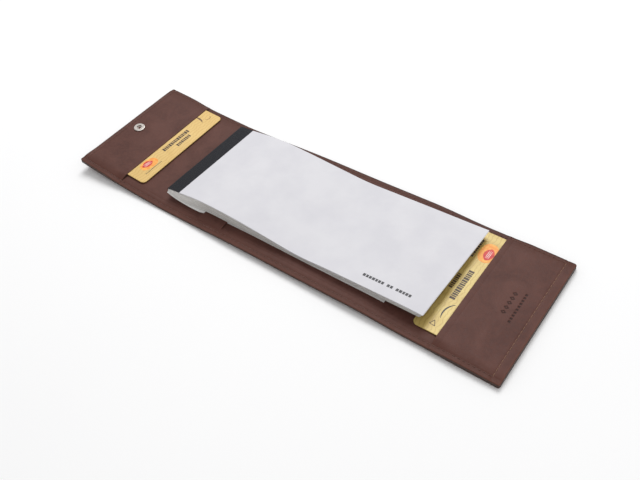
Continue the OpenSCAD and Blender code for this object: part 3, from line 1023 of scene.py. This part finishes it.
def cover(name, start, end, body, nodes, other=None):
    """A stretch of the front cover: thin white board with slightly rounded edges."""
    ss = joined(steps(start, end, 2.5 if end - start > 10 else 0.6),
                [end - 0.15, end - 0.4, end - 0.9] if end == PAD_RIGHT else [])
    ys = joined(steps(PAD_NEAR, PAD_FAR, 4), [PAD_NEAR + 0.2, PAD_NEAR + 0.6, PAD_FAR - 0.2, PAD_FAR - 0.6])

    def top(s, y):
        edge = min(y - PAD_NEAR, PAD_FAR - y, PAD_RIGHT - s)
        return pad_top(s, y) - 0.5 * shoulder(edge, 0.3)

    solid = Solid()
    add_slab(solid, ss, ys, top, lambda s, y: top(s, y) - COVER_THICK, put=level, bulge=0.03,
             seams=(start > TAPE_END, end < PAD_RIGHT))
    if end == PAD_RIGHT:
        s, k, widths = 242.4, 0, (1.8, 1.6, 1.7, 1.9, 1.5, 1.7, 1.6)
        for letters in (7, 2, 5):
            for _ in range(letters):
                w = widths[k % len(widths)]
                add_patch(solid, bar(s, s + w, 19.2, 21.3), top, level, 1, depth=0.1, proud=0.01)
                s += w + 0.5
                k += 1
            s += 1.9
    piece = solid.make(name, (COVER, INK_BLACK))
    pad_piece(piece, body, nodes, other)


def back_height(s, y):
    """Top of the back cover: from the binding it curls down into the strap's slot."""
    if s < STRAP_START:
        return pad_bottom(s, y) - 0.02
    resting = max(lift(s), lift(s - 5)) + 0.6
    if s > MIDDLE_END:
        resting += (s - MIDDLE_END) * math.sin(RIGHT_TILT)
    under = through(BOTTOM, STRAP_START) - 0.02
    return under + (resting - under) * ramp(STRAP_START, STRAP_START + 4, s)


def back_cover(name, start, end, body, nodes, other=None):
    """A stretch of the back cover, under the pages and through the strap."""
    ss = steps(start, end, 2.0 if end - start > 10 else 0.1)
    ys = joined([10.5, 10.8], steps(12, 90, 6), [90.6, 90.9])

    def cut(s, y):
        """The near edge runs in under the pages beyond the strap."""
        return s, y + 2.1 * ramp(STRAP_START, STRAP_START + 5, s) * ramp(30, 11, y)

    solid = Solid()
    add_slab(solid, ss, ys, back_height, lambda s, y: back_height(s, y) - BACK_THICK, put=level, corner=cut,
             bulge=0.03, seams=(start > PAD_LEFT + 1, end < BACK_END))
    piece = solid.make(name, (BACK,))
    pad_piece(piece, body, nodes, other, squash=False)


def binding_tape():
    """Charcoal cloth tape over the bound end: on the cover, round the end and under it."""
    solid = Solid()
    ys = joined([PAD_NEAR, PAD_NEAR + 0.2], steps(PAD_NEAR + 1, PAD_FAR - 1, 2.5), [PAD_FAR - 0.2, PAD_FAR])
    tuck = 1 - 0.8 / (PAD_FAR - PAD_NEAR)
    around = 8
    rows = []
    for y in ys:
        path = [(s, pad_top(s, y) + 0.05) for s in steps(TAPE_END, PAD_LEFT + 1, 1.2)]
        flat = len(path)
        top_h = pad_top(PAD_LEFT, y)
        low_h = pad_bottom(PAD_LEFT, y) - 0.3
        for k in range(around + 1):
            a = math.pi / 2 + math.pi * k / around
            half = 0.5 * (top_h - low_h)
            path.append((PAD_LEFT + 0.4 + 0.7 * math.cos(a), low_h + half + (half + 0.05) * math.sin(a)))
        path += [(s, pad_bottom(s, y) - 0.42) for s in steps(PAD_LEFT + 1.4, PAD_LEFT + 3.0, 0.8)]
        outer, inner = [], []
        for k, (s, h) in enumerate(path):
            p, q = path[max(k - 1, 0)], path[min(k + 1, len(path) - 1)]
            n = Vector((-(q[1] - p[1]), q[0] - p[0])).normalized() * (-0.5 * TAPE_THICK)
            across = y if k < flat else PAD_MIDDLE + (y - PAD_MIDDLE) * tuck
            outer.append(solid.add(level(s + n.x, across, h + n.y), (h + s, y, h)))
            inner.append(solid.add(level(s - n.x, across, h - n.y), (h + s, y, h)))
        rows.append((outer, inner))
    count = len(rows[0][0])
    for (outer_a, inner_a), (outer_b, inner_b) in zip(rows, rows[1:]):
        for k in range(count - 1):
            solid.face((outer_a[k], outer_b[k], outer_b[k + 1], outer_a[k + 1]))
            solid.face((inner_a[k], inner_a[k + 1], inner_b[k + 1], inner_b[k]))
        solid.face((outer_a[0], inner_a[0], inner_b[0], outer_b[0]))
        solid.face((outer_a[-1], outer_b[-1], inner_b[-1], inner_a[-1]))
    for row, flip in ((rows[0], False), (rows[-1], True)):
        outer, inner = row
        for k in range(count - 1):
            quad = (outer[k], outer[k + 1], inner[k + 1], inner[k])
            solid.face(tuple(reversed(quad)) if flip else quad)
    piece = solid.make("binding_tape", (TAPE,))
    pad_piece(piece, "pad", ("pad_tape",))


def cheque_pad():
    """All of the pad's pieces, left of its crease, across it and right of it."""
    left, right = CREASE - PAD_BEND, CREASE + PAD_BEND
    pages("pages_left", PAD_LEFT + 0.4, left, "pad", ("pad_pages_left",))
    pages("pages_bend", left, right, "pad", (), "pad_right")
    pages("pages_right", right, PAD_RIGHT, "pad_right", ("pad_pages_right",))
    cover("cover_left", TAPE_END, left, "pad_cover", ("pad_cover_left",))
    cover("cover_bend", left, right, "pad_cover", (), "pad_cover_fold")
    cover("cover_right", right, PAD_RIGHT, "pad_cover_fold", ("pad_cover_right",))
    left, right = CREASE - BACK_BEND, CREASE + BACK_BEND
    back_cover("back_cover_left", PAD_LEFT + 0.4, left, "pad", ("pad_back_cover_left",))
    back_cover("back_cover_bend", left, right, "pad", (), "pad_right")
    back_cover("back_cover_right", right, BACK_END, "pad_right", ("pad_back_cover_right",))
    binding_tape()


# ---------------------------------------------------------------- build

def metal_parts():
    """Finishes the snap and the staples, whose CAD shapes are shown as they are."""
    for name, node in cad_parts.items():
        if name.startswith("snap_") or name == "pad_staples":
            node.data.materials.clear()
            node.data.materials.append(STEEL if name == "pad_staples" else NICKEL)


def studio():
    """Pale floor, soft lights and the camera at the photograph's angle."""
    mesh = bpy.data.meshes.new("floor")
    mesh.from_pydata([(-4, -4, 0), (4, -4, 0), (4, 4, 0), (-4, 4, 0)], [], [(0, 1, 2, 3)])
    mesh.materials.append(floor_material())
    floor = bpy.data.objects.new("floor", mesh)
    bpy.context.scene.collection.objects.link(floor)

    def area(name, where, size, power):
        light = bpy.data.lights.new(name, "AREA")
        light.shape = "DISK"
        light.size = size
        light.energy = power
        lamp = bpy.data.objects.new(name, light)
        lamp.location = where
        lamp.rotation_euler = (-Vector(where)).to_track_quat("-Z", "Y").to_euler()
        bpy.context.scene.collection.objects.link(lamp)

    area("key_light", (-0.35, 0.75, 1.25), 0.9, 14.0)
    area("fill_light", (0.9, -0.5, 1.3), 1.4, 4.0)
    world = bpy.data.worlds.new("studio")
    world.use_nodes = True
    world.node_tree.nodes["Background"].inputs["Color"].default_value = (1, 1, 1, 1)
    world.node_tree.nodes["Background"].inputs["Strength"].default_value = 0.50
    bpy.context.scene.world = world
    bpy.context.scene.view_settings.view_transform = "Standard"

    camera = bpy.data.objects.new("camera", bpy.data.cameras.new("camera"))
    camera.data.lens = 40.45
    camera.data.sensor_width = 36.0
    camera.data.clip_start = 0.01
    forward = Vector((-0.45763, 0.49388, -0.73936)).normalized()
    upward = Vector((-0.39119, 0.6349, 0.66624)).normalized()
    side = forward.cross(upward).normalized()
    turn = Matrix((side, side.cross(forward), -forward)).transposed()
    camera.matrix_world = Matrix.Translation(Vector((0.24082, -0.24739, 0.34966))) @ turn.to_4x4()
    bpy.context.scene.collection.objects.link(camera)
    bpy.context.scene.camera = camera


rows_across = strip_rows()
for stretch in LEAVES:
    leather_leaf("outer", stretch, rows_across)
    leather_leaf("lining", stretch, rows_across)
stitching()
pocket("pocket_left", "flap", 0.0, POCKET_LEFT_MOUTH)
pocket("pocket_right", "right_panel", POCKET_RIGHT_MOUTH, LENGTH)
strap()
card_left()
card_right()
cheque_pad()
metal_parts()
studio()
